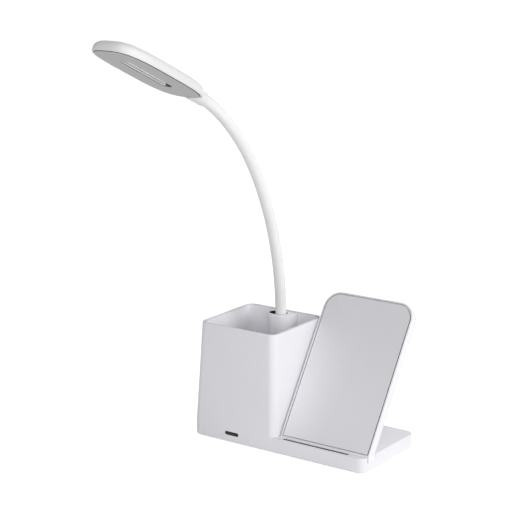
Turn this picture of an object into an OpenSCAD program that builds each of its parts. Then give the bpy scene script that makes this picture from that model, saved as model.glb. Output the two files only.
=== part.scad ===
// Desk lamp on a flexible neck, with a pen cup and a folding phone charging stand
// on one low base. Millimetres, +X to the right along the front, +Y to the back, +Z up.
// The origin is the middle of the base's footprint, on the desk.

/* [Base] */
// Width of the base
base_w = 175; // [168:1:200]
// Depth of the base
base_d = 83; // [78:1:100]
// Height of the base's top face above the desk
base_top = 13.7; // [13.5:0.1:17]
// Radius of the upright corners of the base and the cup
corner_r = 8; // [6:0.5:12]
// Wall of the base moulding
base_wall = 2.4; // [2:0.1:3]
// Chamfer along the base's lower edge
base_chamfer = 0.8; // [0.5:0.1:1.2]
// Thickness of the cover that closes the base from below
cover_t = 1.8; // [1.6:0.1:2.2]
// Diameter of a rubber foot
foot_d = 11; // [8:0.5:14]
// How far the feet stand out below the cover
foot_proud = 0.8; // [0.5:0.1:1.5]
// Shank diameter of a self-tapping screw
screw_d = 2.6; // [2:0.1:3]
// Head diameter of a self-tapping screw
screw_head_d = 5; // [4:0.1:5.6]

/* [Pen cup] */
// Width of the cup where it leaves the base
cup_w = 86.4; // [80:0.1:90]
// Height of the cup's rim above the desk
cup_top = 103.6; // [90:0.1:130]
// How far the left and back walls lean in at the rim
cup_lean = 7.2; // [0:0.1:10]
// Wall of the cup's outer shell
shell_wall = 1.6; // [1.4:0.1:2]
// Wall of the liner inside it
liner_wall = 1.4; // [1.2:0.1:2]
// How far the liner's rim lies below the shell's rim
liner_drop = 0.3; // [0.2:0.1:1.5]
// Gap between the liner and the shell
liner_gap = 0.4; // [0.1:0.05:0.6]
// Height of the underside of the liner's floor above the desk
liner_floor = 16; // [15:0.5:20]

/* [Neck] */
// Diameter of the silicone sleeve
neck_d = 10; // [9:0.5:12]
// Diameter of the steel core
core_d = 6; // [5:0.5:6.5]
// Bore for the lamp's wires
wire_bore_d = 3; // [2:0.5:3.5]
// Place of the neck's root, from the middle of the base
neck_x = -40; // [-44:0.5:-36]
// Distance of the neck's root behind the middle of the base
neck_y = 24.3; // [22:0.1:26]
// Height at which the neck starts to curve
neck_z = 96.6; // [96:0.1:100]
// Radius of the lower curve
lower_r = 265; // [220:5:300]
// Bend of the lower curve, in degrees
lower_bend = 31.1; // [20:0.1:36]
// Radius of the upper curve
upper_r = 203; // [180:1:240]
// Bend of the upper curve, in degrees
upper_bend = 25.3; // [20:0.1:32]
// Radius of the short curve that enters the head's collar
tip_r = 78; // [60:1:120]
// Bend of that short curve, in degrees
tip_bend = 8.7; // [6:0.1:12]
// Gap between the ball and the cup of two neck sections
ball_gap = 0.3; // [0.25:0.05:0.5]
// Width of the column inside the cup that carries the neck
column_w = 25; // [23:0.5:30]
// Wall of that column
column_wall = 2; // [1.5:0.1:2.5]
// Depth of the open slot in the column's top, below the rim
pocket_depth = 11.5; // [10:0.5:16]
// Length of that slot
slot_l = 17; // [12:0.5:18]

/* [Head] */
// Length of the head
head_l = 110.4; // [95:0.2:130]
// Width of the head
head_w = 47.2; // [42:0.1:56]
// Thickness of the head at its middle
head_t = 10.2; // [9.6:0.1:12]
// Exponent of the head's rounded outline
head_n = 3.5; // [2.5:0.1:4.5]
// Wall of the head's shell
head_wall = 1.3; // [1.2:0.1:1.6]
// Length of the collar behind the head
collar_l = 18; // [14:0.5:24]
// Diameter of the collar
collar_d = 11.8; // [11.6:0.1:14]
// Length of the opening for the light
light_l = 60.5; // [50:0.5:72]
// Width of the opening for the light
light_w = 9.5; // [8:0.5:20]
// Depth at which the diffuser lies in the opening
light_depth = 3.4; // [2.5:0.1:3.5]

/* [Phone stand] */
// Width of the stand
stand_w = 87.8; // [78:0.2:88]
// Length of the stand above the base
stand_l = 134.9; // [110:0.1:150]
// Thickness of the stand
stand_t = 9.6; // [9:0.1:11]
// Lean of the stand from upright, in degrees
stand_lean = 33; // [30:1:36]
// Corner radius at the stand's top
stand_r = 15; // [8:0.5:20]
// Width of the rim round the front panel
stand_rim = 1.45; // [1:0.05:3]
// Gap round the front panel
panel_gap = 0.35; // [0.2:0.05:0.5]
// Distance of the stand's face behind the base's front, at the base's top
stand_setback = 6.2; // [6.2:0.1:7.5]
// How far the stand's right side stands out past the base's side
stand_out = 0.6; // [0:0.1:1]
// Diameter of a hinge pin
pin_d = 2; // [1.6:0.1:2.2]
// Distance of each hinge lug from the stand's side
lug_inset = 20; // [16:1:26]
// Diameter of the charging coil
coil_d = 44; // [36:1:48]

/* [Small parts] */
// Length of the black strip that a phone's lower edge stands on
strip_l = 65; // [50:1:74]
// Width of that strip
strip_w = 2.8; // [1.2:0.1:3]
// Length of the indicator window in the front
window_l = 14.2; // [10:0.1:16]
// Height of the indicator window
window_h = 3.3; // [2.4:0.1:3.4]
// Distance of the indicator window from the base's left side
window_x = 41.5; // [30:0.5:60]
// Distance of the power inlet from the base's right side
inlet_x = 60; // [45:1:74]
// Height of the ballast plate
ballast_t = 8; // [5:0.5:9]

/* [Hidden] */
sections = 6;

$fn = 64;
arc_steps = 8;                   // straight pieces in a round corner of a leaning wall
fit_gap = 0.15;                  // gap between parts that are pushed together

// ---- base ----
x_left = -base_w / 2;
x_right = base_w / 2;
y_front = -base_d / 2;
y_back = base_d / 2;
base_z0 = foot_proud;            // underside of the base moulding
roof_z = base_top - base_wall;   // underside of the base's top wall
cover_z1 = base_z0 + cover_t;    // upper face of the cover
edge_round = 0.8;                // rounding of the base's upper edge
rim_round = 0.6;                 // rounding of the cup's rim, outside
quarter = [0, 30, 60, 90];       // a rounded edge is three short chamfers
boss_r = screw_d / 2 + 2;
boss_inset = base_wall + 3.6;    // corner bosses, from the outside
boss_x = base_w / 2 - boss_inset;
boss_y = base_d / 2 - boss_inset;
foot_sink = 0.8;                 // how deep a foot sits in its recess
foot_x = base_w / 2 - 22;
foot_y = base_d / 2 - 14;
screw_head_h = 1.2;

// ---- cup ----
cup_x1 = x_left + cup_w;
cup_z0 = base_top - edge_round;
liner_in = shell_wall + liner_gap;         // the liner's outside, from the shell's outside
rim_bevel = 0.3;                 // bevel inside the liner's rim
liner_top = cup_top - liner_drop;
shelf_t = 3;
shelf_z = cup_top - pocket_depth;          // upper face of the shelf in the column
column_y = neck_y - 24.3 + 26.3;           // middle of the column's round front
column_in = column_w / 2 - column_wall;
slot_w = neck_d + 1.6;                     // width of the slot the neck comes out of

// ---- hinge and stand ----
stand_x1 = x_right + stand_out;
stand_x0 = stand_x1 - stand_w;
face_y = y_front + stand_setback;        // the stand's face at the height of the base's top
foot_y0 = face_y + 0.1;                  // the upright foot below the stand
foot_y1 = face_y + 11.1;
foot_z0 = base_top - 4.1;
pocket_gap = 0.35;                       // gap round the foot in its pocket
pocket_x0 = stand_x0 - pocket_gap;
pocket_y0 = face_y - pocket_gap;
pocket_y1 = foot_y1 + 1.4;
pocket_z0 = foot_z0 - pocket_gap;
pocket_wall = 1.4;
hinge_y = pocket_y1 + 1.9;               // axis of the hinge, behind the pocket
hinge_z = base_top - 2.3;
knuckle_r = 2;
knuckle_w = 6;
lug_xs = [stand_x0 + lug_inset, stand_x1 - lug_inset];
side_gap = 0.35;                         // between a washer and the base
washer_t = 0.5;
notch_w = knuckle_w + 2 * (washer_t + side_gap);
notch_y1 = hinge_y + knuckle_r + 0.5;
block_w = 5;                             // length of a pin held in the base on each side
block_y1 = notch_y1 + 1.6;
panel_t = 1.6;
panel_sink = 0.15;                       // how far the panel lies below the rim
panel_v0 = 1.5;                          // the panel's lower seam above the base's top
stand_wall = 2;
face_round = 0.5;                        // rounding round the stand's face
back_round = 2.4;                        // rounding round its back
ledge_w = 2.5;                           // ledge that the panel is glued to
coil_v = 66.6;                           // middle of the coil above the base's top

// ---- neck curve: points (y, z) at a lean angle a from upright ----
a_low = lower_bend;
a_up = lower_bend + upper_bend;
a_end = a_up + tip_bend;
low_c = [neck_y - lower_r, neck_z];
up_c = low_c + (lower_r - upper_r) * [cos(a_low), sin(a_low)];
tip_c = up_c + (upper_r - tip_r) * [cos(a_up), sin(a_up)];
function curve_r(a) = a < a_low ? lower_r : a < a_up ? upper_r : tip_r;
function curve_c(a) = a < a_low ? low_c : a < a_up ? up_c : tip_c;
function joint_a(k) = k <= 4 ? k * a_low / 4 : a_low + (k - 4) * upper_bend / 3;
function arc_deg(mm, r) = mm / r * 180 / PI;
ball_r = neck_d / 2 - 0.1;
cup_r = ball_r + ball_gap;
core_inset = cup_r + 1.2;        // core ends this far below the next ball's middle
neck_end = tip_c + tip_r * [cos(a_end), sin(a_end)];

// ---- head: built flat, its collar's mouth at the origin, forward along -Y ----
head_tilt = 90 - a_end;
axis_up = head_t / 2 + 0.2;      // the neck's axis above the underside
head_side_z = 4.3;               // height of the upright part of the shell's side
bezel_sink = 0.4;
bezel_t = 1.2;
skirt_t = 1;
diffuser_t = 1;
board_t = 1;
chip_h = 0.5;
light_y = -collar_l - head_l / 2 - 2;
led_in = 2.2;                    // how far the board keeps inside the opening's outline
led_step = (light_l - 2 * led_in - 6) / 8;
dome_in = 7.5;                   // width of the rounding along the head's edge
seat_in = 2.2;                   // how far the collar reaches into the head
collar_room = 0.2;               // room round the collar in the bezel
touch_d = 9;
touch_t = 0.2;
touch_y = -collar_l - head_wall - dome_in - touch_d / 2 - 1;
outline_steps = 64;
dome_steps = 5;

// ---------------------------------------------------------------- shared shapes

// Rectangle with round corners, as exact arcs.
module round_rect(x0, x1, y0, y1, r) {
    translate([x0 + r, y0]) square([x1 - x0 - 2 * r, y1 - y0]);
    translate([x0, y0 + r]) square([x1 - x0, y1 - y0 - 2 * r]);
    for (x = [x0 + r, x1 - r], y = [y0 + r, y1 - r]) translate([x, y]) circle(r);
}

// The same outline as points, with straight pieces in the corners.
function round_rect_points(x0, x1, y0, y1, r) = [for (c = [0:3], k = [0:arc_steps])
    let (a = 180 + 90 * c + 90 * k / arc_steps)
        [(c == 0 || c == 3 ? x0 + r : x1 - r) + r * cos(a),
         (c < 2 ? y0 + r : y1 - r) + r * sin(a)]];

// Closed solid through rings of points, from the lowest ring to the highest.
function at_height(points, z) = [for (p = points) [p[0], p[1], z]];
module through_rings(rings) {
    n = len(rings[0]);
    m = len(rings);
    polyhedron(points = [for (r = rings) each r],
        faces = concat([[for (i = [0:n - 1]) i], [for (i = [n - 1:-1:0]) (m - 1) * n + i]],
            [for (j = [0:m - 2], i = [0:n - 1]) [j * n + i, (j + 1) * n + i, (j + 1) * n + (i + 1) % n]],
            [for (j = [0:m - 2], i = [0:n - 1])
                [j * n + i, (j + 1) * n + (i + 1) % n, j * n + (i + 1) % n]]));
}

// The base's outline drawn in by `in`, and the cup's, which leans in with height.
function base_ring(in, z) = at_height(
    round_rect_points(x_left + in, x_right - in, y_front + in, y_back - in, corner_r - in), z);
function lean_at(z) = cup_lean * max(0, z - base_top) / (cup_top - base_top);
function cup_ring(in, z) = at_height(
    round_rect_points(x_left + lean_at(z) + in, cup_x1 - in, y_front + in,
                      y_back - lean_at(z) - in, corner_r - in), z);

module cup_solid(in, z0, z1) through_rings([cup_ring(in, z0), cup_ring(in, z1)]);

// One straight slot with round ends, lying along X.
module pill(l, h) {
    square([l - h, h], center = true);
    for (s = [-1, 1]) translate([s * (l - h) / 2, 0]) circle(h / 2);
}

module self_tapper(length) {
    cylinder(d = screw_head_d, h = screw_head_h);
    cylinder(d = screw_d, h = screw_head_h + length);
}

// ---------------------------------------------------------------- base and cup

module main_housing() color("whitesmoke") {
    difference() {
        union() {
            difference() {
                union() {
                    base_block();
                    cup_block();
                }
                base_cavity();
                // the cup's wall steps in at the liner's floor: the liner stands on that ledge
                cup_solid(shell_wall, liner_floor, cup_top + 1);
            }
            pocket_block();
            hinge_blocks();
            cover_bosses();
            board_posts();
            window_rails();
        }
        stand_pocket();
        translate([0, 0, base_top - 2.2]) linear_extrude(3) strip_outline(0);
        translate([x_left + window_x, y_front - 1, window_z])
            rotate([-90, 0, 0]) linear_extrude(base_wall + 2) pill(window_l, window_h);
        translate([inlet_cx, y_back + 1, inlet_z])
            rotate([90, 0, 0]) linear_extrude(base_wall + 2) pill(9.5, 3.7);
        for (p = boss_places) translate([p[0], p[1], 0]) cylinder(d = screw_d, h = 6.4);
        for (p = board_post_places) translate([p[0], p[1], 0]) cylinder(d = 2, h = roof_z);
    }
}

module base_block() through_rings([
    base_ring(base_chamfer, base_z0), base_ring(0, base_z0 + base_chamfer),
    for (q = quarter) base_ring(edge_round * (1 - cos(q)), base_top - edge_round * (1 - sin(q)))]);

// The cavity is open below; under the cup it is open up to the liner's floor.
module base_cavity() {
    translate([0, 0, base_z0 - 1]) linear_extrude(roof_z - base_z0 + 1)
        round_rect(x_left + base_wall, x_right - base_wall, y_front + base_wall,
                   y_back - base_wall, corner_r - base_wall);
    translate([0, 0, roof_z - 1]) linear_extrude(liner_floor - roof_z + 1.1)
        round_rect(x_left + base_wall + 0.1, cup_x1 - base_wall, y_front + base_wall + 0.1,
                   y_back - base_wall - 0.1, corner_r - base_wall - 0.1);
}

module cup_block() through_rings([
    cup_ring(0, cup_z0), cup_ring(0, base_top),
    for (q = quarter) cup_ring(rim_round * (1 - cos(q)), cup_top - rim_round * (1 - sin(q)))]);

boss_places = [[-boss_x, -boss_y, roof_z + 0.5], [-boss_x, boss_y, roof_z + 0.5],
               [boss_x, boss_y, roof_z + 0.5], [foot_x - 16, (pocket_y0 + pocket_y1) / 2, pocket_z0]];
module cover_bosses() {
    for (p = boss_places)
        translate([p[0], p[1], cover_z1]) cylinder(r = boss_r, h = p[2] - 0.3 - cover_z1);
}

// Walls of the pocket that the stand's foot stands in.
module pocket_block()
    translate([pocket_x0 - pocket_wall, pocket_y0 - pocket_wall, pocket_z0 - pocket_wall])
        cube([x_right - 1 - pocket_x0 + pocket_wall, pocket_y1 - pocket_y0 + 2 * pocket_wall,
              roof_z + 1 - pocket_z0 + pocket_wall]);

// Blocks below the base's top that hold the hinge pins, with a notch for a knuckle.
module hinge_blocks()
    for (x = lug_xs)
        translate([x - notch_w / 2 - block_w, pocket_y1 + 0.5, pocket_z0 - pocket_wall])
            cube([notch_w + 2 * block_w, block_y1 - pocket_y1 - 0.5, roof_z + 1 - pocket_z0 + pocket_wall]);

module stand_pocket() {
    translate([pocket_x0, pocket_y0, pocket_z0])
        cube([base_w, pocket_y1 - pocket_y0, base_top]);
    for (x = lug_xs) {
        translate([x - notch_w / 2, pocket_y1 - 1, pocket_z0 - 0.3])
            cube([notch_w, notch_y1 - pocket_y1 + 1, base_top]);
        // pins go in from inside the base, before its cover
        translate([x - notch_w / 2 - block_w - 1, hinge_y, hinge_z]) rotate([0, 90, 0])
            cylinder(d = pin_d, h = notch_w + 2 * block_w + 2);
    }
}

module hinge_pins() color("silver")
    for (x = lug_xs) translate([x, hinge_y, hinge_z]) rotate([0, 90, 0])
        cylinder(d = pin_d, h = notch_w + 2 * block_w, center = true);

// The phone's lower edge stands on a black strip in a groove of the ledge.
strip_gap = 0.05;
strip_y = pocket_y0 - 0.6 - strip_w / 2 - strip_gap;
strip_x = stand_x0 + 5 + strip_l / 2;
module strip_outline(in) {
    translate([strip_x, strip_y])
        pill(strip_l + 2 * (strip_gap - in), strip_w + 2 * (strip_gap - in));
}

module phone_rest_strip() color("dimgray")
    translate([0, 0, base_top - 2.2]) linear_extrude(1.8) strip_outline(strip_gap);

module cup_liner() color("gainsboro")
    difference() {
        union() {
            difference() {
                cup_solid(liner_in, liner_floor, liner_top);
                through_rings([for (p = [[0, liner_floor + liner_wall], [0, liner_top - rim_bevel],
                                         [rim_bevel, liner_top], [rim_bevel, liner_top + 1]])
                    cup_ring(liner_in + liner_wall - p[0], p[1])]);
            }
            intersection() {
                cup_solid(liner_in, liner_floor, liner_top);
                translate([0, 0, liner_floor]) linear_extrude(cup_top) column_outline(column_w / 2);
            }
        }
        // open slot above the shelf, and the channel for the wires below it
        translate([neck_x + (slot_w - slot_l) / 2, neck_y, shelf_z])
            linear_extrude(cup_top) pill(slot_l, slot_w);
        translate([0, 0, liner_floor - 1]) linear_extrude(shelf_z - shelf_t - liner_floor + 1)
            column_outline(column_in);
        translate([neck_x, neck_y, liner_floor]) cylinder(d = stem_d + 0.2, h = cup_top);
    }

module column_outline(r) {
    translate([neck_x, column_y]) {
        circle(r);
        translate([-r, 0]) square([2 * r, y_back - column_y]);
    }
}

module bottom_cover() color("whitesmoke")
    difference() {
        translate([0, 0, base_z0]) linear_extrude(cover_t)
            round_rect(x_left + base_wall + fit_gap, x_right - base_wall - fit_gap,
                       y_front + base_wall + fit_gap, y_back - base_wall - fit_gap,
                       corner_r - base_wall - fit_gap);
        for (x = [-foot_x, foot_x], y = [-foot_y, foot_y])
            translate([x, y, base_z0 - 1]) cylinder(d = foot_d, h = 1 + foot_sink);
        for (p = boss_places) translate([p[0], p[1], base_z0 - 1]) {
            cylinder(d = screw_d, h = cover_t + 2);
            cylinder(d = screw_head_d, h = 1 + screw_head_h);
        }
        // cooling slots under the circuit board
        for (k = [-3:3]) translate([inlet_cx + k * 5, 18, base_z0 - 1]) linear_extrude(cover_t + 2)
            rotate(90) pill(14, 1.6);
    }

module cover_screws() color("silver")
    for (p = boss_places) translate([p[0], p[1], base_z0]) self_tapper(4);

module rubber_feet() color("dimgray")
    for (x = [-foot_x, foot_x], y = [-foot_y, foot_y])
        translate([x, y, 0]) {
            translate([0, 0, 0.4]) cylinder(d = foot_d, h = foot_proud + foot_sink - 0.4);
            cylinder(d1 = foot_d - 0.8, d2 = foot_d, h = 0.4);
        }

// Steel plate under the cup that keeps the lamp from tipping.
ballast_x0 = x_left + 14;
ballast_x1 = cup_x1 - 6;
ballast_y0 = y_front + 12;
ballast_y1 = y_back - 12;
module ballast_plate() color("slategray")
    translate([0, 0, cover_z1]) linear_extrude(ballast_t)
        round_rect(ballast_x0, ballast_x1, ballast_y0, ballast_y1, 4);

// ---- electronics in the base ----
inlet_cx = x_right - inlet_x;
pcb_t = 1.2;
pcb_z = cover_z1 + 1.6;
pcb_x0 = cup_x1 + 8.6;                     // the board lies between the cup and a cover boss
pcb_x1 = x_right - boss_inset - 18;
pcb_y0 = block_y1 + 6;
pcb_y1 = y_back - base_wall - 0.6;
inlet_z = pcb_z + pcb_t + 1.6;
board_post_places = [for (x = [pcb_x0 + 4, pcb_x1 - 4]) [x, (pcb_y0 + pcb_y1) / 2]];
module board_posts() {
    for (p = board_post_places)
        translate([p[0], p[1], pcb_z + pcb_t]) cylinder(d = 5, h = roof_z - pcb_z - pcb_t + 0.5);
}

module main_board() color("seagreen")
    difference() {
        union() {
            translate([pcb_x0, pcb_y0, pcb_z]) cube([pcb_x1 - pcb_x0, pcb_y1 - pcb_y0, pcb_t]);
            // coil driver chip, inductor and two capacitors
            translate([inlet_cx - 4, pcb_y0 + 4, pcb_z + pcb_t]) cube([7, 7, 1]);
            translate([inlet_cx + 8, pcb_y0 + 4, pcb_z + pcb_t]) cube([8, 8, 3.5]);
            for (k = [0:1])
                translate([inlet_cx + 20, pcb_y0 + 6 + 8 * k, pcb_z + pcb_t]) cylinder(d = 5, h = 4);
        }
        for (p = board_post_places) translate([p[0], p[1], pcb_z - 1]) cylinder(d = 2, h = pcb_t + 2);
    }

module board_screws() color("silver")
    for (p = board_post_places) translate([p[0], p[1], pcb_z - 1]) {
        cylinder(d = 3.6, h = 1);
        cylinder(d = 2, h = 1 + pcb_t + 3.5);
    }

// Stamped shell of the power inlet with its contact tongue.
module power_inlet() color("silver")
    translate([inlet_cx, y_back - 0.4, inlet_z]) rotate([90, 0, 0]) {
        difference() {
            linear_extrude(7.2) pill(8.9, 3.2);
            translate([0, 0, -1]) linear_extrude(7.2) pill(8.3, 2.6);
        }
        translate([0, 0, 1]) linear_extrude(5.6) square([6.6, 0.7], center = true);
    }

// Smoked window, and the little board with the indicator lamps behind it.
window_z = base_top - 5.1;
window_flange = 1;
rail_d = 1.9;
module indicator_window() color("dimgray")
    translate([x_left + window_x, y_front + 0.15, window_z]) rotate([-90, 0, 0]) {
        linear_extrude(base_wall - 0.15) pill(window_l - 0.1, window_h - 0.1);
        translate([0, 0, base_wall - 0.15]) linear_extrude(window_flange) pill(window_l + 2, window_h + 1.6);
    }

module window_rails() {
    for (s = [-1, 1])
        translate([x_left + window_x + s * (window_l / 2 + 3.5) - 1, y_front + base_wall - 0.2,
                   window_z - 3])
            cube([2, rail_d + 0.2, 6]);
}

module indicator_board() color("seagreen")
    translate([x_left + window_x, y_front + base_wall + rail_d, window_z]) {
        translate([-window_l / 2 - 4.5, 0, -3]) cube([window_l + 9, 1.2, 6]);
        for (k = [-1:1]) translate([4 * k - 1, window_flange - rail_d, -0.6])
            cube([2, rail_d - window_flange, 1.2]);
    }

// ---------------------------------------------------------------- neck

stem_d = 10;
// Flanged, hollow screw end of the neck: it stands on the column's shelf.
module neck_ferrule() color("silver")
    translate([neck_x, neck_y, 0])
        difference() {
            union() {
                translate([0, 0, shelf_z]) cylinder(d = neck_d + 1, h = 2);
                translate([0, 0, shelf_z - 11]) cylinder(d = stem_d, h = 11.5);
            }
            translate([0, 0, shelf_z - 12]) cylinder(d = wire_bore_d + 1, h = 20);
            translate([0, 0, shelf_z - 3]) cylinder(d = core_d, h = 20);
        }

// Hexagonal nut that draws the ferrule down on the shelf.
module neck_nut() color("silver")
    translate([neck_x, neck_y, shelf_z - shelf_t - 5])
        difference() {
            cylinder(d = 16, h = 5, $fn = 6);
            translate([0, 0, -1]) cylinder(d = stem_d, h = 7);
        }

// Sweeps a flat outline along the neck's curve from lean a0 to lean a1.
module along(a0, a1) {
    c = curve_c((a0 + a1) / 2);
    r = curve_r((a0 + a1) / 2);
    translate([neck_x, c[0], c[1]]) rotate([90, 0, 90]) rotate([0, 0, a0])
        rotate_extrude(angle = a1 - a0) translate([r, 0]) children();
}

// Moves its children to the neck's centre line at lean a.
module at_lean(a) {
    p = curve_c(a) + curve_r(a) * [cos(a), sin(a)];
    translate([neck_x, p[0], p[1]]) rotate([a, 0, 0]) children();
}

// Sleeve between two joints: a ball below, and a cup for the next ball above.
module sleeve_section(a0, a1) {
    r = curve_r((a0 + a1) / 2);
    difference() {
        union() {
            along(a0, a1) circle(d = neck_d);
            at_lean(a0) sphere(ball_r);
        }
        at_lean(a1) sphere(cup_r);
        along(a0 + arc_deg(1, r), a1) circle(d = core_d);
        at_lean(a0) cylinder(d = wire_bore_d, h = 2.4 * ball_r, center = true);
    }
}

module core_section(a0, a1) {
    r = curve_r((a0 + a1) / 2);
    along(a0 + arc_deg(1, r), a1 - arc_deg(core_inset, r))
        difference() {
            circle(d = core_d);
            circle(d = wire_bore_d);
        }
}

module neck_root_sleeve() color("white")
    difference() {
        union() {
            translate([neck_x, neck_y, shelf_z + 2]) cylinder(d = neck_d, h = neck_z - shelf_z - 2);
            along(0, joint_a(1)) circle(d = neck_d);
        }
        translate([neck_x, neck_y, shelf_z]) cylinder(d = core_d, h = neck_z - shelf_z);
        along(0, joint_a(1)) circle(d = core_d);
        at_lean(joint_a(1)) sphere(cup_r);
    }

module neck_root_core() color("silver") {
    end = joint_a(1) - arc_deg(core_inset, lower_r);
    translate([neck_x, neck_y, shelf_z - 3]) difference() {
        cylinder(d = core_d, h = neck_z - shelf_z + 3);
        translate([0, 0, -1]) cylinder(d = wire_bore_d, h = neck_z);
    }
    along(0, end) difference() {
        circle(d = core_d);
        circle(d = wire_bore_d);
    }
}

module neck_sleeve(k) color("white") sleeve_section(joint_a(k), joint_a(k + 1));
module neck_core(k) color("silver") core_section(joint_a(k), joint_a(k + 1));

// Last piece of the neck: it ends in the head's collar, where it is a little thinner.
collar_grip = 7;                 // length of the sleeve held in the collar
grip_less = 0.4;
module neck_tip_sleeve() color("white")
    difference() {
        union() {
            along(a_up, a_end) circle(d = neck_d);
            at_lean(a_up) sphere(ball_r);
            in_head() rotate([90, 0, 0]) translate([0, 0, -0.5])
                cylinder(d = neck_d - grip_less, h = collar_grip + 0.5);
        }
        along(a_up + arc_deg(1, tip_r), a_end) circle(d = core_d);
        in_head() rotate([90, 0, 0]) translate([0, 0, -0.5])
            cylinder(d = core_d - grip_less, h = collar_grip + 1);
        at_lean(a_up) cylinder(d = wire_bore_d, h = 2.4 * ball_r, center = true);
    }

module neck_tip_core() color("silver")
    difference() {
        union() {
            along(a_up + arc_deg(1, tip_r), a_end) circle(d = core_d);
            in_head() rotate([90, 0, 0]) translate([0, 0, -0.5])
                cylinder(d = core_d - grip_less, h = collar_grip + 0.5);
        }
        along(a_up, a_end) circle(d = wire_bore_d);
        in_head() rotate([90, 0, 0]) translate([0, 0, -0.5])
            cylinder(d = wire_bore_d - grip_less, h = collar_grip + 1);
    }

// ---------------------------------------------------------------- head

// Places what is built flat, forward along -Y, at the neck's end.
module in_head() {
    translate([neck_x, neck_end[0], neck_end[1]]) rotate([-head_tilt, 0, 0]) children();
}

function oval(a, b, n) = [for (i = [0:outline_steps - 1])
    let (t = 360 * i / outline_steps, c = cos(t), s = sin(t))
        [b * sign(c) * pow(abs(c), 2 / n), a * sign(s) * pow(abs(s), 2 / n)]];

// The head's outline, drawn in by `in`, with its rear end at the collar's end.
module head_outline(in) {
    translate([0, -collar_l - head_l / 2]) polygon(oval(head_l / 2 - in, head_w / 2 - in, head_n));
}
function head_ring(in, z) = [for (p = oval(head_l / 2 - in, head_w / 2 - in, head_n))
    [p[0], p[1] - collar_l - head_l / 2, z]];

// Upright side below, elliptical rounding above; z is taken from the underside.
module head_solid(in, z0, top)
    through_rings(concat([head_ring(in, z0)], [for (k = [0:dome_steps])
        let (q = 90 * k / dome_steps)
            head_ring(in + dome_in * (1 - cos(q)), head_side_z + (top - head_side_z) * sin(q))]));

module head_collar() color("white")
    in_head() rotate([90, 0, 0]) difference() {
        cylinder(d = collar_d, h = collar_l + seat_in);
        translate([0, 0, -1]) cylinder(d = neck_d - grip_less, h = collar_grip + 1);
        cylinder(d = wire_bore_d + 1, h = collar_l + 10);
    }

module head_shell() color("white")
    in_head() difference() {
        translate([0, 0, -axis_up]) difference() {
            head_solid(0, 0, head_t);
            head_solid(head_wall, -1, head_t - head_wall);
        }
        // seat of the collar in the rear end
        rotate([90, 0, 0]) cylinder(d = collar_d, h = collar_l + seat_in);
    }

module light_outline(in) {
    translate([0, light_y]) rotate(90) pill(light_l - 2 * in, light_w - 2 * in);
}

// Underside of the head, with a skirt round the light's opening.
module head_bezel() color("lightgray")
    in_head() translate([0, 0, -axis_up]) difference() {
        union() {
            translate([0, 0, bezel_sink]) linear_extrude(bezel_t) head_outline(head_wall + 0.1);
            translate([0, 0, bezel_sink]) linear_extrude(light_depth - bezel_sink)
                light_outline(-skirt_t);
        }
        translate([0, 0, -1]) linear_extrude(light_depth + 2) light_outline(0);
        // room for the collar's end
        translate([0, 0, axis_up]) rotate([90, 0, 0])
            cylinder(r = collar_d / 2 + collar_room, h = collar_l + seat_in + collar_room);
    }

module light_diffuser() color("ivory")
    in_head() translate([0, 0, light_depth - axis_up]) linear_extrude(diffuser_t) light_outline(-skirt_t);

led_top = head_t - head_wall;
module led_board() color("lightgray")
    in_head() translate([0, 0, led_top - board_t - axis_up]) linear_extrude(board_t) light_outline(led_in);

module led_chips() color("khaki")
    in_head() for (k = [-4:4])
        translate([-1.4, light_y + k * led_step - 1.4, led_top - board_t - chip_h - axis_up])
            cube([2.8, 2.8, chip_h]);

// Copper pad under the top of the head: the lamp's touch switch.
module touch_plate() color("peru")
    in_head() translate([0, touch_y, head_t - head_wall - touch_t - axis_up])
        cylinder(d = touch_d, h = touch_t);

// ---------------------------------------------------------------- phone stand

// Built upright: its face lies at Y = 0, and Z is measured up the face from the base's top.
module in_stand() {
    translate([0, face_y, base_top]) rotate([-stand_lean, 0, 0]) children();
}

// The stand's outline drawn in by `in`: round corners above, square ones below.
function stand_ring(in, v0, depth) = let (x0 = stand_x0 + in, x1 = stand_x1 - in, r = stand_r - in,
    v1 = stand_l - in) concat([[x0, v0, -depth], [x1, v0, -depth]],
    [for (k = [0:12]) let (a = 90 * k / 12) [x1 - r + r * cos(a), v1 - r + r * sin(a), -depth]],
    [for (k = [0:12]) let (a = 90 + 90 * k / 12) [x0 + r + r * cos(a), v1 - r + r * sin(a), -depth]]);

module stand_outline(in, v0) {
    r = stand_r - in;
    x0 = stand_x0 + in;
    x1 = stand_x1 - in;
    v1 = stand_l - in;
    translate([x0, v0]) square([x1 - x0, v1 - v0 - r]);
    translate([x0 + r, v0]) square([x1 - x0 - 2 * r, v1 - v0]);
    for (x = [x0 + r, x1 - r]) translate([x, v1 - r]) circle(r);
}

// Slab of the stand between two depths behind its face.
module stand_slab(in, v0, d0, d1)
    translate([0, d1, 0]) rotate([90, 0, 0]) linear_extrude(d1 - d0) stand_outline(in, v0);

function stand_level(r, q, depth) = stand_ring(r * (1 - cos(q)), low_v(depth), depth);

// Lower end of the stand at the height of the base's top, at a depth behind the face.
function low_v(depth) = depth * tan(stand_lean);
post_xs = [for (x = [-24.5, 24.5], v = [-24.5, 24.5]) [(stand_x0 + stand_x1) / 2 + x, coil_v + v]];

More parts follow.
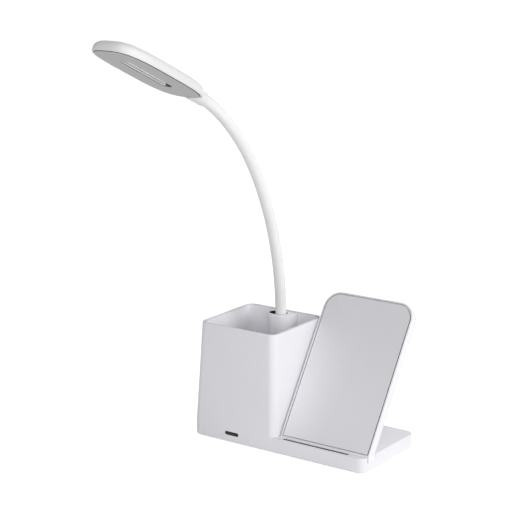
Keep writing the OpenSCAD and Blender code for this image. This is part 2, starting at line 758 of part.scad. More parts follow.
module stand_frame() color("white") {
    difference() {
        union() {
            in_stand() difference() {
                rotate([90, 0, 0]) through_rings([
                    for (q = [90, 60, 30, 0]) stand_level(back_round, q, stand_t - back_round * (1 - sin(q))),
                    for (q = quarter) stand_level(face_round, q, face_round * (1 - sin(q)))]);
                // seat of the panel, and the cavity behind it
                stand_slab(stand_rim, panel_v0, -1, panel_t + panel_sink);
                stand_slab(stand_rim + ledge_w, panel_v0 + ledge_w + 4, 0, stand_t - stand_wall);
            }
            // upright foot, and the two knuckles behind it
            translate([stand_x0, foot_y0, foot_z0])
                cube([stand_w, foot_y1 - foot_y0, base_top + 0.15 - foot_z0]);
            for (x = lug_xs) translate([x - knuckle_w / 2, 0, 0]) rotate([90, 0, 90])
                linear_extrude(knuckle_w) {
                    translate([hinge_y, hinge_z]) circle(knuckle_r);
                    translate([foot_y1 - 1, hinge_z - knuckle_r + 0.3])
                        square([hinge_y - foot_y1 + 1, 2 * knuckle_r - 0.6]);
                }
            in_stand() for (p = post_xs) translate([p[0], stand_t - stand_wall + 0.5, p[1]])
                rotate([90, 0, 0]) cylinder(d = 5, h = 0.5 + stand_t - stand_wall - board_d1);
        }
        for (x = lug_xs) translate([x - knuckle_w, hinge_y, hinge_z]) rotate([0, 90, 0])
            cylinder(d = pin_d + 0.1, h = 2 * knuckle_w);
        in_stand() for (p = post_xs) translate([p[0], stand_t - stand_wall - 0.2, p[1]])
            rotate([90, 0, 0]) cylinder(d = 2, h = 6);
    }
}

// Friction washers on both sides of each knuckle: they hold the stand at any lean.
module hinge_washers() color("silver")
    for (x = lug_xs, s = [-1, 1])
        translate([x + s * (knuckle_w / 2 + washer_t / 2), hinge_y, hinge_z]) rotate([0, 90, 0])
            difference() {
                cylinder(r = knuckle_r - 0.1, h = washer_t, center = true);
                cylinder(d = pin_d + 0.1, h = washer_t + 1, center = true);
            }

module stand_panel() color("gainsboro")
    in_stand() difference() {
        stand_slab(stand_rim + panel_gap, panel_v0 + panel_gap, panel_sink, panel_sink + panel_t);
        // generic charging mark: a shallow ring
        translate([(stand_x0 + stand_x1) / 2, panel_sink - 1, coil_v]) rotate([-90, 0, 0])
            difference() {
                cylinder(r = 9, h = 1.15);
                translate([0, 0, -1]) cylinder(r = 8, h = 4);
            }
    }

// Behind the panel: the coil on its ferrite sheet, the sheet on the coil board.
coil_d0 = panel_sink + panel_t + 0.25;
board_d0 = coil_d0 + 1.4 + 0.8;
board_d1 = board_d0 + 1.2;
module at_coil(depth) {
    translate([(stand_x0 + stand_x1) / 2, depth, coil_v]) rotate([-90, 0, 0]) children();
}

module coil_board() color("seagreen")
    in_stand() at_coil(board_d0) difference() {
        linear_extrude(1.2) round_rect(-28, 28, -28, 28, 3);
        for (x = [-24.5, 24.5], y = [-24.5, 24.5]) translate([x, y, -1]) cylinder(d = 2, h = 4);
    }

module ferrite_sheet() color("dimgray")
    in_stand() at_coil(board_d0 - 0.8) cylinder(d = coil_d, h = 0.8);

module charging_coil() color("peru")
    in_stand() at_coil(coil_d0) difference() {
        cylinder(d = coil_d - 2, h = 1.4);
        translate([0, 0, -1]) cylinder(d = 20, h = 4);
    }

module coil_screws() color("silver")
    in_stand() for (x = [-24.5, 24.5], y = [-24.5, 24.5])
        at_coil(board_d0 - 1) translate([x, y, 0]) {
            cylinder(d = 3.6, h = 1);
            cylinder(d = 2, h = 1 + 1.2 + 1.8);
        }

// ---------------------------------------------------------------- what is drawn

main_housing();
cup_liner();
bottom_cover();
cover_screws();
rubber_feet();
ballast_plate();
main_board();
board_screws();
power_inlet();
indicator_window();
indicator_board();
phone_rest_strip();
hinge_pins();
neck_ferrule();
neck_nut();
neck_root_sleeve();
neck_root_core();
for (k = [1:sections]) neck_sleeve(k);
for (k = [1:sections]) neck_core(k);
neck_tip_sleeve();
neck_tip_core();
head_collar();
head_shell();
head_bezel();
light_diffuser();
led_board();
led_chips();
touch_plate();
stand_frame();
stand_panel();
ferrite_sheet();
charging_coil();
coil_board();
coil_screws();
hinge_washers();
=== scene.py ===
import math

import bpy
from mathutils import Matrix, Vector


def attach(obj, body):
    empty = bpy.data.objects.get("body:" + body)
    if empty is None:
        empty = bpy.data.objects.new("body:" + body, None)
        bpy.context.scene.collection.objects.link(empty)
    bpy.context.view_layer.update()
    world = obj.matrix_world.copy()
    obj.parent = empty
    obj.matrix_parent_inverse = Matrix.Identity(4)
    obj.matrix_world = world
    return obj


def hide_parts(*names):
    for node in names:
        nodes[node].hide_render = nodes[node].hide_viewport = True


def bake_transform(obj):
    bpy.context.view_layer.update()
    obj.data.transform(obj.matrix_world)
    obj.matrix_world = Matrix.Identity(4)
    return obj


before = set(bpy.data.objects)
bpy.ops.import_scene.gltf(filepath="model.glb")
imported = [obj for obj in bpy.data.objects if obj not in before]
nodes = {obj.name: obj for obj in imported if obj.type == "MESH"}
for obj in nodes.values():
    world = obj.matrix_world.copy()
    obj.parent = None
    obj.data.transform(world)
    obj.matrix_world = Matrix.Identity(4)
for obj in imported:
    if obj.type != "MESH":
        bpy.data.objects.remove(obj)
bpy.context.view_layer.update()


# ---------------------------------------------------------------- camera, floor and light
# The studio: a pale floor that runs out to white, a camera low at the right front with a
# long lens, soft light from all round, and three large soft lamps on the right, in front
# and at the back.

def new_material(name):
    material = bpy.data.materials.new(name)
    material.use_nodes = True
    material.node_tree.nodes.clear()
    return material


def add(owner, kind, settings=None, links=None):
    """Adds a node: settings are its properties or unlinked sockets, links its linked sockets."""
    tree = owner.node_tree
    made = tree.nodes.new(kind)
    for key, value in (settings or {}).items():
        if isinstance(key, str) and hasattr(made, key):
            setattr(made, key, value)
        else:
            made.inputs[key].default_value = value
    for key, (source, output) in (links or {}).items():
        tree.links.new(source.outputs[output], made.inputs[key])
    return made


bpy.ops.object.select_all(action="DESELECT")
bpy.ops.mesh.primitive_plane_add(size=24, location=(0, 0, 0))
floor = bpy.context.object
floor.name = "studio_floor"
paper = new_material("floor_white_paper")
rays = add(paper, "ShaderNodeLightPath")
place = add(paper, "ShaderNodeTexCoord")
fibres = add(paper, "ShaderNodeTexNoise", {"Scale": 40.0, "Detail": 2.0}, {"Vector": (place, "Object")})
tone = add(paper, "ShaderNodeMapRange", {"To Min": 0.86, "To Max": 0.88}, {"Value": (fibres, "Fac")})
matt = add(paper, "ShaderNodeBsdfDiffuse", {}, {"Color": (tone, "Result")})
glow = add(paper, "ShaderNodeEmission", {"Color": (1, 1, 1, 1), "Strength": 0.72})
lifted = add(paper, "ShaderNodeAddShader", {}, {0: (matt, 0), 1: (glow, 0)})
seen = add(paper, "ShaderNodeMath", {"operation": "MAXIMUM"},
           {0: (rays, "Is Camera Ray"), 1: (rays, "Is Glossy Ray")})
paper_mix = add(paper, "ShaderNodeMixShader", {}, {0: (seen, 0), 1: (matt, 0), 2: (lifted, 0)})
add(paper, "ShaderNodeOutputMaterial", {}, {"Surface": (paper_mix, 0)})
floor.data.materials.append(paper)

world = bpy.data.worlds.new("studio")
bpy.context.scene.world = world
world.use_nodes = True
world.node_tree.nodes.clear()
# the room is dimmer on the left and overhead, so that round shapes turn grey on the left
# and the cup's inside is darker than its outside
way = add(world, "ShaderNodeTexCoord")
sides = add(world, "ShaderNodeSeparateXYZ", {}, {"Vector": (way, "Generated")})
fill = add(world, "ShaderNodeMapRange", {"From Min": -0.9, "From Max": 0.9, "To Min": 0.2, "To Max": 0.76},
           {"Value": (sides, "X")})
overhead = add(world, "ShaderNodeMapRange", {"From Min": 0.3, "From Max": 1.0, "To Min": 1.0, "To Max": 0.5},
               {"Value": (sides, "Z")})
fill = add(world, "ShaderNodeMath", {"operation": "MULTIPLY"}, {0: (fill, 0), 1: (overhead, 0)})
rays = add(world, "ShaderNodeLightPath")
seen = add(world, "ShaderNodeMath", {"operation": "MAXIMUM"},
           {0: (rays, "Is Camera Ray"), 1: (rays, "Is Glossy Ray")})
seen = add(world, "ShaderNodeMath", {"operation": "MAXIMUM"},
           {0: (seen, 0), 1: (rays, "Is Transmission Ray")})
soft = add(world, "ShaderNodeBackground", {"Color": (1, 1, 1, 1)}, {"Strength": (fill, 0)})
white = add(world, "ShaderNodeBackground", {"Color": (1, 1, 1, 1), "Strength": 1.0})
both = add(world, "ShaderNodeMixShader", {}, {0: (seen, 0), 1: (soft, 0), 2: (white, 0)})
add(world, "ShaderNodeOutputWorld", {}, {"Surface": (both, 0)})


def soft_lamp(name, place, target, size, power, mirrored=True):
    """A round lamp, in metres and watts; one that isn't mirrored leaves no highlight on gloss."""
    lamp = bpy.data.lights.new(name, "AREA")
    lamp.shape, lamp.size, lamp.energy = "DISK", size, power
    holder = bpy.data.objects.new(name, lamp)
    holder.location = place
    holder.rotation_euler = (Vector(target) - Vector(place)).to_track_quat("-Z", "Y").to_euler()
    holder.visible_glossy = mirrored
    bpy.context.scene.collection.objects.link(holder)


soft_lamp("right_soft_lamp", (1.7, 0.5, 1.05), (0, 0, 0.12), 1.1, 16.5)
soft_lamp("front_soft_lamp", (0.8, -1.4, 0.5), (0, 0, 0.1), 0.9, 9.8)
soft_lamp("back_soft_lamp", (-0.5, 2.0, 0.4), (0, 0, 0.1), 1.0, 7, mirrored=False)

# the camera's place and turn come from a fit of the photographed edges; angles in radians
looks_down, rolls, looks_left = 0.238, 0.001, 0.618
camera = bpy.data.objects.new("camera", bpy.data.cameras.new("camera"))
camera.data.lens, camera.data.sensor_width = 115.25, 36
camera.data.clip_start, camera.data.clip_end = 0.05, 60
camera.location = (0.7439, -1.1156, 0.4893)
camera.rotation_euler = (math.pi / 2 - looks_down, rolls, looks_left)
bpy.context.scene.collection.objects.link(camera)
bpy.context.scene.camera = camera
bpy.context.scene.view_settings.view_transform = "Standard"


# ---------------------------------------------------------------- main housing
# One white ABS moulding: the low base with the pen cup's outer shell standing on its left.
# Injection moulded, with a very fine spark-eroded texture that makes its faces satin.

def linear(code):
    """A colour written as sRGB hex, turned linear for a shader."""
    values = [int(code[i:i + 2], 16) / 255 for i in (0, 2, 4)]
    return [v / 12.92 if v <= 0.04045 else ((v + 0.055) / 1.055) ** 2.4 for v in values] + [1]


def merged_copy(node, name, angle=35):
    """A copy of a CAD node whose loose triangles are joined, with smooth round surfaces."""
    bpy.ops.object.select_all(action="DESELECT")
    piece = bpy.data.objects.new(name, nodes[node].data.copy())
    bpy.context.scene.collection.objects.link(piece)
    bpy.context.view_layer.objects.active = piece
    piece.select_set(True)
    bpy.ops.object.mode_set(mode="EDIT")
    bpy.ops.mesh.select_all(action="SELECT")
    bpy.ops.mesh.remove_doubles(threshold=2e-6)
    bpy.ops.mesh.customdata_custom_splitnormals_clear()
    bpy.ops.mesh.dissolve_limited(angle_limit=math.radians(0.3))
    bpy.ops.object.mode_set(mode="OBJECT")
    bpy.ops.object.shade_smooth_by_angle(angle=math.radians(angle))
    piece.data.materials.clear()
    return piece


def moulded_abs(name, shade, grain_mm=0.45, roughness=0.4, depth_mm=0.012):
    """Moulded plastic, white or grey: its grain makes it satin, slow clouds vary its tone and gloss.

    The real grain is near a tenth of a millimetre; it is drawn coarser so that it shows.
    """
    plastic = new_material(name)
    place = add(plastic, "ShaderNodeTexCoord")
    grain = add(plastic, "ShaderNodeTexNoise", {"Scale": 1000 / grain_mm, "Detail": 3.0, "Roughness": 0.6},
                {"Vector": (place, "Object")})
    clouds = add(plastic, "ShaderNodeTexNoise", {"Scale": 14.0, "Detail": 4.0},
                 {"Vector": (place, "Object")})
    dark = [c * 0.972 for c in linear(shade)[:3]] + [1]
    tone = add(plastic, "ShaderNodeMix", {"data_type": "RGBA", 6: dark, 7: linear(shade)},
               {0: (clouds, "Fac")})
    gloss = add(plastic, "ShaderNodeMapRange", {"To Min": roughness - 0.05, "To Max": roughness + 0.07},
                {"Value": (clouds, "Fac")})
    relief = add(plastic, "ShaderNodeBump", {"Strength": 0.35, "Distance": depth_mm / 1000},
                 {"Height": (grain, "Fac")})
    skin = add(plastic, "ShaderNodeBsdfPrincipled", {"IOR": 1.52},
               {"Base Color": (tone, 2), "Roughness": (gloss, "Result"), "Normal": (relief, "Normal")})
    add(plastic, "ShaderNodeOutputMaterial", {}, {"Surface": (skin, 0)})
    return plastic


def choose_faces(piece, wanted):
    """Opens edit mode on a piece with just those faces selected that `wanted` says yes to."""
    bpy.ops.object.mode_set(mode="OBJECT")
    bpy.ops.object.select_all(action="DESELECT")
    bpy.context.view_layer.objects.active = piece
    piece.select_set(True)
    bpy.ops.object.mode_set(mode="EDIT")
    bpy.ops.mesh.select_mode(type="FACE")
    bpy.ops.mesh.select_all(action="DESELECT")
    bpy.ops.object.mode_set(mode="OBJECT")
    for face in piece.data.polygons:
        face.select = bool(wanted(face.center, face.normal))
    bpy.ops.object.mode_set(mode="EDIT")


def break_edges(piece, offset, angle=35):
    """Rounds the edges round the chosen faces, as a mould's polished edges are, and leaves edit mode."""
    bpy.ops.mesh.region_to_loop()
    bpy.ops.mesh.bevel(offset=offset, segments=2, affect="EDGES", clamp_overlap=True, material=0)
    bpy.ops.object.mode_set(mode="OBJECT")
    bpy.ops.object.shade_smooth_by_angle(angle=math.radians(angle))


shell_rim_z = 0.1036
housing = merged_copy("main_housing", "housing_moulding")
choose_faces(housing, lambda at, out: at.z > shell_rim_z - 0.0002 and out.z > 0.95)
break_edges(housing, 0.0003)
housing.data.materials.append(moulded_abs("housing_satin_white_abs", "E7E7EB"))
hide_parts("main_housing")
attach(housing, "base")


# ---------------------------------------------------------------- cup liner
# The cup's inside: a second thin ABS moulding pushed into the shell, its rim a step
# lower. It carries the round column that the neck is screwed down in; the neck stands in
# a slot in the column's top.

def give_slot(piece, number):
    """Gives the chosen faces the piece's material of that number."""
    piece.active_material_index = number
    bpy.ops.object.material_slot_assign()


def dark_edge(piece, finish_name, inset):
    """Draws the chosen side faces in and paints them near-black: painted shade, a guess that makes the seam
    dark.
    """
    seam_shade = new_material(finish_name)
    place = add(seam_shade, "ShaderNodeTexCoord")
    smear = add(seam_shade, "ShaderNodeTexNoise", {"Scale": 600.0, "Detail": 3.0}, {"Vector": (place, "Object")})
    tone = add(seam_shade, "ShaderNodeMix", {"data_type": "RGBA", 6: linear("141416"), 7: linear("26262A")},
               {0: (smear, "Fac")})
    skin = add(seam_shade, "ShaderNodeBsdfPrincipled", {"Roughness": 0.6, "IOR": 1.45}, {"Base Color": (tone, 2)})
    add(seam_shade, "ShaderNodeOutputMaterial", {}, {"Surface": (skin, 0)})
    piece.data.materials.append(seam_shade)
    bpy.ops.transform.shrink_fatten(value=-inset, use_even_offset=True)
    give_slot(piece, 1)


liner_rim_z = shell_rim_z - 0.0003
liner_rim_step = 0.0008
cup_middle, column_middle = Vector((-0.0448, -0.0002, 0)), Vector((-0.040, 0.0243, 0))
slot_middle = column_middle - Vector((0.0028, 0, 0))
column_r, slot_half = 0.014, 0.0092


def seen_from(middle, at, out):
    """How far a point is from an upright axis, and how far its face looks away from that axis."""
    away = Vector((at.x, at.y, 0)) - middle
    return away.length, away.dot(out)


def on_outside(at, out):
    """True on the liner's outer side, which faces the shell across the seam in the rim."""
    off_column = seen_from(column_middle, at, out)[0] > column_r
    return abs(out.z) < 0.3 and seen_from(cup_middle, at, out)[1] > 0.02 and off_column


def in_slot(at, out):
    """True on the wall of the slot, which is deep; this wall is painted near-black as shade."""
    distance, outwards = seen_from(slot_middle, at, out)
    return at.z > 0.09 and abs(out.z) < 0.3 and distance < slot_half and -0.02 < outwards < 0


liner = merged_copy("cup_liner", "cup_liner_moulding")
liner.data.materials.append(moulded_abs("liner_satin_white_abs", "F4F4F8", roughness=0.44))
# the liner's outer side is painted near-black: painted shade that makes the seam in the rim dark
choose_faces(liner, on_outside)
dark_edge(liner, "liner_outside_painted_seam_shade", 0.0003)
# the slot's wall takes the same near-black: painted shade in the deep slot
choose_faces(liner, in_slot)
give_slot(liner, 1)
choose_faces(liner, lambda at, out: at.z > liner_rim_z - 0.0002 and out.z > 0.95)
bpy.ops.transform.translate(value=(0, 0, -liner_rim_step))
break_edges(liner, 0.0003)
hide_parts("cup_liner")
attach(liner, "base")


# ---------------------------------------------------------------- neck
# A white silicone sleeve drawn over a steel gooseneck. It is one smooth tube; here it is
# cut midway between the neck's joints, one piece round each joint.

neck_x, neck_y, neck_z = -0.040, 0.0243, 0.0966
neck_r, straight_foot, straight_tip = 0.0049, 0.0024, 0.002
# the leans from upright, in degrees, at which each of the three arcs starts and ends, and its radius
curves = [(0.0, 31.1, 0.265), (31.1, 56.4, 0.203), (56.4, 65.1, 0.078)]
lower_end, upper_end, tip_end = [end for _, end, _ in curves]
# below the first of these leans and past the second, the sleeve sits on rigid pieces
held_foot, held_tip = 2.5, 64.3


def neck_arc(lean):
    """Radius and centre (y, z) of the curve that the neck follows at this lean from upright."""
    centre = Vector((neck_y - curves[0][2], neck_z))
    last = curves[0][2]
    for start, end, radius in curves:
        a = math.radians(start)
        centre += (last - radius) * Vector((math.cos(a), math.sin(a)))
        last = radius
        if lean < end or end == curves[-1][1]:
            return radius, centre


def neck_point(lean):
    radius, centre = neck_arc(lean)
    a = math.radians(lean)
    return Vector((neck_x, centre.x + radius * math.cos(a), centre.y + radius * math.sin(a)))


def neck_way(lean):
    a = math.radians(lean)
    return Vector((0, -math.sin(a), math.cos(a)))


def open_ring(name, place, way, radius, sides=40):
    """A circle facing along `way`, left in edit mode with its edges selected."""
    bpy.ops.object.select_all(action="DESELECT")
    turn = way.to_track_quat("Z", "X").to_euler()
    bpy.ops.mesh.primitive_circle_add(vertices=sides, radius=radius, location=place, rotation=turn)
    piece = bpy.context.object
    piece.name = name
    bpy.ops.object.transform_apply(location=True, rotation=True, scale=True)
    bpy.ops.object.mode_set(mode="EDIT")
    bpy.ops.mesh.select_all(action="SELECT")
    return piece


def close_ends():
    """Fills every open ring, turns the faces outwards and leaves edit mode."""
    bpy.ops.mesh.select_all(action="DESELECT")
    bpy.ops.mesh.select_mode(type="EDGE")
    bpy.ops.mesh.select_non_manifold(extend=False)
    bpy.ops.mesh.fill_holes(sides=0)
    bpy.ops.mesh.select_all(action="SELECT")
    bpy.ops.mesh.normals_make_consistent(inside=False)
    bpy.ops.object.mode_set(mode="OBJECT")
    bpy.ops.object.shade_smooth_by_angle(angle=math.radians(35))


# the rubber's bloom is finer than the millimetre it is drawn at, which lets it show
silicone = new_material("neck_matt_white_silicone")
place = add(silicone, "ShaderNodeTexCoord")
dust = add(silicone, "ShaderNodeTexNoise", {"Scale": 900.0, "Detail": 5.0, "Roughness": 0.65},
           {"Vector": (place, "Object")})
clouds = add(silicone, "ShaderNodeTexNoise", {"Scale": 30.0, "Detail": 3.0}, {"Vector": (place, "Object")})
tone = add(silicone, "ShaderNodeMix", {"data_type": "RGBA", 6: linear("E4E4E4"), 7: linear("ECECEC")},
           {0: (clouds, "Fac")})
gloss = add(silicone, "ShaderNodeMapRange", {"To Min": 0.46, "To Max": 0.6}, {"Value": (dust, "Fac")})
relief = add(silicone, "ShaderNodeBump", {"Strength": 0.25, "Distance": 0.00001}, {"Height": (dust, "Fac")})
# a little light travels inside the rubber and softens its shaded side
skin = add(silicone, "ShaderNodeBsdfPrincipled",
           {"IOR": 1.41, "Subsurface Weight": 0.12, "Subsurface Radius": (0.6, 0.55, 0.5),
            "Subsurface Scale": 0.002},
           {"Base Color": (tone, 2), "Roughness": (gloss, "Result"), "Normal": (relief, "Normal")})
add(silicone, "ShaderNodeOutputMaterial", {}, {"Surface": (skin, 0)})

joint_leans = [lower_end * k / 4 for k in range(1, 5)]
joint_leans += [lower_end + (upper_end - lower_end) * k / 3 for k in range(1, 4)]
cuts = [(a + b) / 2 for a, b in zip(joint_leans, joint_leans[1:])]
for k, joint in enumerate(joint_leans, start=1):
    first = 0.0 if k == 1 else cuts[k - 2]
    last = tip_end if k == 7 else cuts[k - 1]
    start = neck_point(first) - (Vector((0, 0, straight_foot)) if k == 1 else Vector())
    sleeve = open_ring("neck_sleeve_piece_%d" % k, start, neck_way(first), neck_r)
    if k == 1:
        bpy.ops.mesh.extrude_region_move(TRANSFORM_OT_translate={"value": (0, 0, straight_foot)})
    stops = [first] + [end for _, end, _ in curves if first < end < last] + [last]
    for a, b in zip(stops, stops[1:]):
        radius, centre = neck_arc((a + b) / 2)
        length = radius * math.radians(b - a)
        bpy.ops.mesh.spin(steps=max(2, round(length / 0.0015)), angle=math.radians(a - b), dupli=False,
                          center=(neck_x, centre.x, centre.y), axis=(1, 0, 0))
    if k == 7:
        bpy.ops.mesh.extrude_region_move(
            TRANSFORM_OT_translate={"value": tuple(neck_way(tip_end) * straight_tip)})
    close_ends()
    sleeve.data.materials.append(silicone)
    if k == 1:
        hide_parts("neck_root_sleeve")
    elif k == 7:
        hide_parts("neck_sleeve_6", "neck_tip_sleeve")
    else:
        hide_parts("neck_sleeve_%d" % (k - 1))
    neck_point(max(first, held_foot))
    neck_point(min(last, held_tip))
    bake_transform(sleeve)


# ---------------------------------------------------------------- head
# A flat rounded ABS shell, closed from below by a grey plate with a long opening. In the
# opening, a few millimetres deep, lies the opal sheet that spreads the light. A collar
# joins the head to the neck.

collar_end = neck_point(tip_end)
forward = neck_way(tip_end)
head_up = Vector((0, forward.z, -forward.y))
underside = collar_end - head_up * 0.0053
collar_start_r = 0.00505


def above_underside(at):
    """Height of a point above the head's underside, in millimetres."""
    return (at - underside).dot(head_up) * 1000


collar = open_ring("head_collar_moulding", collar_end - forward * 0.0002, forward, collar_start_r)
profile = [(0.0002, collar_start_r), (0.0, 0.0055), (0.0003, 0.00578), (0.001, 0.00588), (0.0195, 0.00588)]
reached, radius = -0.0002, collar_start_r
for along, wide in profile:
    bpy.ops.mesh.extrude_region_move(
        TRANSFORM_OT_translate={"value": tuple(forward * (along - reached))})
    bpy.ops.transform.resize(value=(wide / radius,) * 3,
                             center_override=tuple(collar_end + forward * along))
    reached, radius = along, wide
close_ends()
collar.data.materials.append(moulded_abs("collar_satin_white_abs", "E2E2E2"))
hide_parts("head_collar")
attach(collar, "head")

# the shell's lower rim stands back, so that the plate's edge, painted near-black as shade, shows under it as
# a dark line
shell = merged_copy("head_shell", "head_shell_moulding", angle=40)
choose_faces(shell, lambda at, out: out.dot(head_up) < -0.95 and above_underside(at) < 0.6)
bpy.ops.transform.translate(value=tuple(head_up * 0.0008))
bpy.ops.object.mode_set(mode="OBJECT")
shell.data.materials.append(moulded_abs("head_satin_white_abs", "DCDCDC", roughness=0.46))
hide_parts("head_shell")
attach(shell, "head")

# the plate's edge is painted near-black, painted shade for a dark seam to the shell; bands of tone on the
# opening's wall
# are painted light and shade: a painted shadow at its mouth, a painted highlight on the lip behind it, a
# grey band, a pale painted light at the inner end and a painted shadow on the rear end
light_middle = collar_end + forward * 0.0752
light_half_width, light_half_length = 0.0075, 0.0358


def on_side(at, out):
    return abs(out.dot(head_up)) < 0.2


def in_opening(at, out):
    across, along = abs(at.x - light_middle.x), abs((at - light_middle).dot(forward))
    return on_side(at, out) and across < light_half_width and along < light_half_length


def at_rear_end(at, out):
    return in_opening(at, out) and out.dot(forward) > 0.75 and (at - light_middle).dot(forward) < 0


bezel = merged_copy("head_bezel", "head_bezel_plate", angle=40)
bezel.data.materials.append(moulded_abs("bezel_matt_grey_plastic", "ADADAD", grain_mm=0.3, roughness=0.5))
# the plate's outer side faces are painted near-black: painted shade for the seam to the shell
choose_faces(bezel, lambda at, out: on_side(at, out) and not in_opening(at, out))
dark_edge(bezel, "bezel_edge_painted_seam_shade", 0.0004)
break_edges(bezel, 0.0001, angle=40)
bands = [("opening_step_painted_shadow", "4A4A4A", 0.0, 0.9), ("opening_lip_painted_highlight", "FCFCFC", 0.9, 1.5),
         ("opening_wall_grey", "B4B4B4", 1.5, 2.6), ("opening_inner_painted_light", "E8E8E8", 2.6, 4.0)]
for _, _, _, height in bands[:-1]:
    choose_faces(bezel, in_opening)
    bpy.ops.mesh.bisect(plane_co=tuple(underside + head_up * height / 1000), plane_no=tuple(head_up))
for number, (finish_name, shade, low, high) in enumerate(bands, start=2):
    bezel.data.materials.append(moulded_abs(finish_name, shade, grain_mm=0.3, roughness=0.45))
    choose_faces(bezel, lambda at, out: in_opening(at, out) and low < above_underside(at) < high)
    give_slot(bezel, number)
# the opening's rear end gets the painted shadow of the mouth's band as well
choose_faces(bezel, at_rear_end)
give_slot(bezel, 2)
bpy.ops.object.mode_set(mode="OBJECT")
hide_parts("head_bezel")
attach(bezel, "head")


def finish(material, *names):
    """Gives the CAD nodes of those names this material alone."""
    for name in names:
        nodes[name].data.materials.clear()
        nodes[name].data.materials.append(material)


# an opal sheet with fine prisms, drawn 0.7 mm wide, that break up its gloss
opal = new_material("diffuser_opal_sheet")
place = add(opal, "ShaderNodeTexCoord")
prisms = add(opal, "ShaderNodeTexVoronoi", {"Scale": 1400.0}, {"Vector": (place, "Object")})
haze = add(opal, "ShaderNodeMapRange", {"To Min": 0.3, "To Max": 0.42}, {"Value": (prisms, "Distance")})
relief = add(opal, "ShaderNodeBump", {"Strength": 0.4, "Distance": 0.00002},
             {"Height": (prisms, "Distance")})
skin = add(opal, "ShaderNodeBsdfPrincipled",
           {"Base Color": linear("FAFAFA"), "IOR": 1.49},
           {"Roughness": (haze, "Result"), "Normal": (relief, "Normal")})
add(opal, "ShaderNodeOutputMaterial", {}, {"Surface": (skin, 0)})
finish(opal, "light_diffuser")


# ---------------------------------------------------------------- phone stand
# A white ABS slab with an inset light grey panel glued in its face; the charging coil lies
# behind the panel. Its foot stands in a pocket of the base and turns on two steel pins.

stand = merged_copy("stand_frame", "stand_frame_moulding", angle=40)
stand.data.materials.append(moulded_abs("stand_satin_white_abs", "ECECEF"))
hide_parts("stand_frame")
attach(stand, "stand")

# the plate's edge stands a little off the frame, and its side faces are painted near-black as shade: a dark
# line runs all round it
stand_lean = math.radians(33)
stand_face = Vector((0, -math.cos(stand_lean), math.sin(stand_lean)))
stand_way = stand_face.cross(Vector((1, 0, 0)))
panel_middle = Vector((0.0442, 0.001, 0.0696))
ring_mark_r = 0.02


def on_rim(at, out):
    """True on the plate's outer side faces, but not on the ring mark in its middle."""
    across, along = at.x - panel_middle.x, (at - panel_middle).dot(stand_way)
    return abs(out.dot(stand_face)) < 0.2 and math.hypot(across, along) > ring_mark_r


panel = merged_copy("stand_panel", "stand_panel_plate")
panel_grey = moulded_abs("panel_satin_light_grey", "DEDEE2", grain_mm=0.35, roughness=0.34)
panel.data.materials.append(panel_grey)
choose_faces(panel, on_rim)
dark_edge(panel, "panel_edge_painted_seam_shade", 0.0005)
break_edges(panel, 0.0002)
place = add(panel_grey, "ShaderNodeTexCoord")
sides = add(panel_grey, "ShaderNodeSeparateXYZ", {}, {"Vector": (place, "Object")})
# a broad reflection, drawn as tone and fixed to the plate: the grey is paler towards the
# lower left corner, and a little paler towards the bottom
near_left = add(panel_grey, "ShaderNodeMapRange",
                {"interpolation_type": "SMOOTHSTEP", "From Min": 0.002, "From Max": 0.045,
                 "To Min": 0.75, "To Max": 0.0}, {"Value": (sides, "X")})
near_foot = add(panel_grey, "ShaderNodeMapRange",
                {"interpolation_type": "SMOOTHSTEP", "From Min": 0.03, "From Max": 0.105,
                 "To Min": 1.0, "To Max": 0.0}, {"Value": (sides, "Z")})
corner = add(panel_grey, "ShaderNodeMath", {"operation": "MULTIPLY"}, {0: (near_left, 0), 1: (near_foot, 0)})
foot = add(panel_grey, "ShaderNodeMath", {"operation": "MULTIPLY_ADD", 1: 0.42},
           {0: (near_foot, 0), 2: (corner, 0)})
skin = panel_grey.node_tree.nodes["Principled BSDF"]
plain = skin.inputs["Base Color"].links[0].from_node
pale = add(panel_grey, "ShaderNodeMix", {"data_type": "RGBA", 7: linear("EAEAEE")},
           {0: (foot, 0), 6: (plain, 2)})
panel_grey.node_tree.links.new(pale.outputs[2], skin.inputs["Base Color"])
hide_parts("stand_panel")
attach(panel, "stand")


# ---------------------------------------------------------------- small parts that show
# The black silicone strip pressed into the ledge, the smoked window in the front, the
# grey rubber feet, and the ABS cover that closes the base from below.

def rubber(name, shade, roughness):
    """Rubber, and other dull stuff: a fine bloom, drawn coarse, varies its tone and gloss."""
    material = new_material(name)
    place = add(material, "ShaderNodeTexCoord")
    bloom = add(material, "ShaderNodeTexNoise", {"Scale": 700.0, "Detail": 4.0},
                {"Vector": (place, "Object")})
    pale = [min(1, c * 1.5 + 0.004) for c in linear(shade)[:3]] + [1]
    tone = add(material, "ShaderNodeMix", {"data_type": "RGBA", 6: linear(shade), 7: pale},
               {0: (bloom, "Fac")})
    dull = add(material, "ShaderNodeMapRange", {"To Min": roughness - 0.1, "To Max": roughness + 0.1},
               {"Value": (bloom, "Fac")})
    relief = add(material, "ShaderNodeBump", {"Strength": 0.4, "Distance": 0.00002},
                 {"Height": (bloom, "Fac")})
    skin = add(material, "ShaderNodeBsdfPrincipled", {"IOR": 1.45},
               {"Base Color": (tone, 2), "Roughness": (dull, "Result"), "Normal": (relief, "Normal")})
    add(material, "ShaderNodeOutputMaterial", {}, {"Surface": (skin, 0)})
    return material


finish(rubber("strip_black_silicone", "0A0A0A", 0.7), "phone_rest_strip")
finish(rubber("feet_grey_rubber", "5A5A5E", 0.75), "rubber_feet")
finish(moulded_abs("cover_matt_white_abs", "E2E2E6", grain_mm=0.8, roughness=0.5), "bottom_cover")

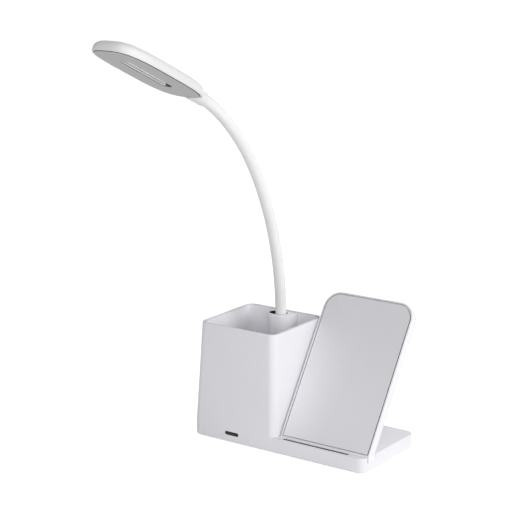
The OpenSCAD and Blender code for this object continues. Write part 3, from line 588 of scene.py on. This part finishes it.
smoked = new_material("window_smoked_polycarbonate")
place = add(smoked, "ShaderNodeTexCoord")
swirl = add(smoked, "ShaderNodeTexNoise", {"Scale": 250.0, "Detail": 3.0}, {"Vector": (place, "Object")})
tone = add(smoked, "ShaderNodeMix", {"data_type": "RGBA", 6: linear("030303"), 7: linear("08080A")},
           {0: (swirl, "Fac")})
haze = add(smoked, "ShaderNodeMapRange", {"To Min": 0.12, "To Max": 0.22}, {"Value": (swirl, "Fac")})
skin = add(smoked, "ShaderNodeBsdfPrincipled", {"IOR": 1.4},
           {"Base Color": (tone, 2), "Roughness": (haze, "Result")})
add(smoked, "ShaderNodeOutputMaterial", {}, {"Surface": (skin, 0)})
finish(smoked, "indicator_window")


# ---------------------------------------------------------------- metal and electronics
# Zinc-plated screws, pins, washers and core, the inlet's nickel-plated shell, the steel
# ballast, the copper coil and touch plate, the green boards, the light's white board with
# its yellow chips, and the grey ferrite sheet behind the coil.

def metal(name, shade, roughness, grain_mm):
    """Bare or plated metal: fine rolling marks vary its tone and its gloss."""
    material = new_material(name)
    place = add(material, "ShaderNodeTexCoord")
    marks = add(material, "ShaderNodeTexNoise", {"Scale": 1000 / grain_mm, "Detail": 4.0},
                {"Vector": (place, "Object")})
    dark = [c * 0.8 for c in linear(shade)[:3]] + [1]
    tone = add(material, "ShaderNodeMix", {"data_type": "RGBA", 6: dark, 7: linear(shade)},
               {0: (marks, "Fac")})
    gloss = add(material, "ShaderNodeMapRange", {"To Min": roughness - 0.08, "To Max": roughness + 0.1},
                {"Value": (marks, "Fac")})
    relief = add(material, "ShaderNodeBump", {"Strength": 0.3, "Distance": 0.00002},
                 {"Height": (marks, "Fac")})
    skin = add(material, "ShaderNodeBsdfPrincipled", {"Metallic": 1.0},
               {"Base Color": (tone, 2), "Roughness": (gloss, "Result"), "Normal": (relief, "Normal")})
    add(material, "ShaderNodeOutputMaterial", {}, {"Surface": (skin, 0)})
    return material


zinc = metal("fixings_zinc_plated_steel", "C8C9CC", 0.32, 0.6)
finish(zinc, "cover_screws", "board_screws", "coil_screws", "hinge_pins", "hinge_washers",
       "neck_ferrule", "neck_nut", "neck_root_core", "neck_tip_core",
       *["neck_core_%d" % k for k in range(1, 7)])
finish(metal("inlet_nickel_plated_shell", "D2D0CC", 0.22, 0.9), "power_inlet")
finish(metal("ballast_rolled_steel", "8E9094", 0.45, 2.0), "ballast_plate")
finish(metal("coil_bare_copper", "C77B4C", 0.35, 0.5), "charging_coil", "touch_plate")


def laminate(name, shade, trace):
    """Circuit board: solder mask over copper traces that stand out as slightly paler bands."""
    material = new_material(name)
    place = add(material, "ShaderNodeTexCoord")
    bands = add(material, "ShaderNodeTexVoronoi", {"feature": "DISTANCE_TO_EDGE", "Scale": 260.0},
                {"Vector": (place, "Object")})
    edge = add(material, "ShaderNodeMath", {"operation": "LESS_THAN", 1: 0.08}, {0: (bands, "Distance")})
    tone = add(material, "ShaderNodeMix", {"data_type": "RGBA", 6: linear(shade), 7: linear(trace)},
               {0: (edge, 0)})
    relief = add(material, "ShaderNodeBump", {"Strength": 0.5, "Distance": 0.00003}, {"Height": (edge, 0)})
    skin = add(material, "ShaderNodeBsdfPrincipled", {"Roughness": 0.35, "IOR": 1.5},
               {"Base Color": (tone, 2), "Normal": (relief, "Normal")})
    add(material, "ShaderNodeOutputMaterial", {}, {"Surface": (skin, 0)})
    return material


finish(laminate("boards_green_solder_mask", "12613A", "2A8A58"),
       "main_board", "indicator_board", "coil_board")
finish(laminate("light_board_white_mask", "E8E8E4", "D6D6D0"), "led_board")
finish(rubber("ferrite_sintered_grey", "3A3A3E", 0.55), "ferrite_sheet")
finish(rubber("chips_yellow_phosphor", "D9B84A", 0.5), "led_chips")


# ---------------------------------------------------------------- the end

bpy.context.view_layer.update()
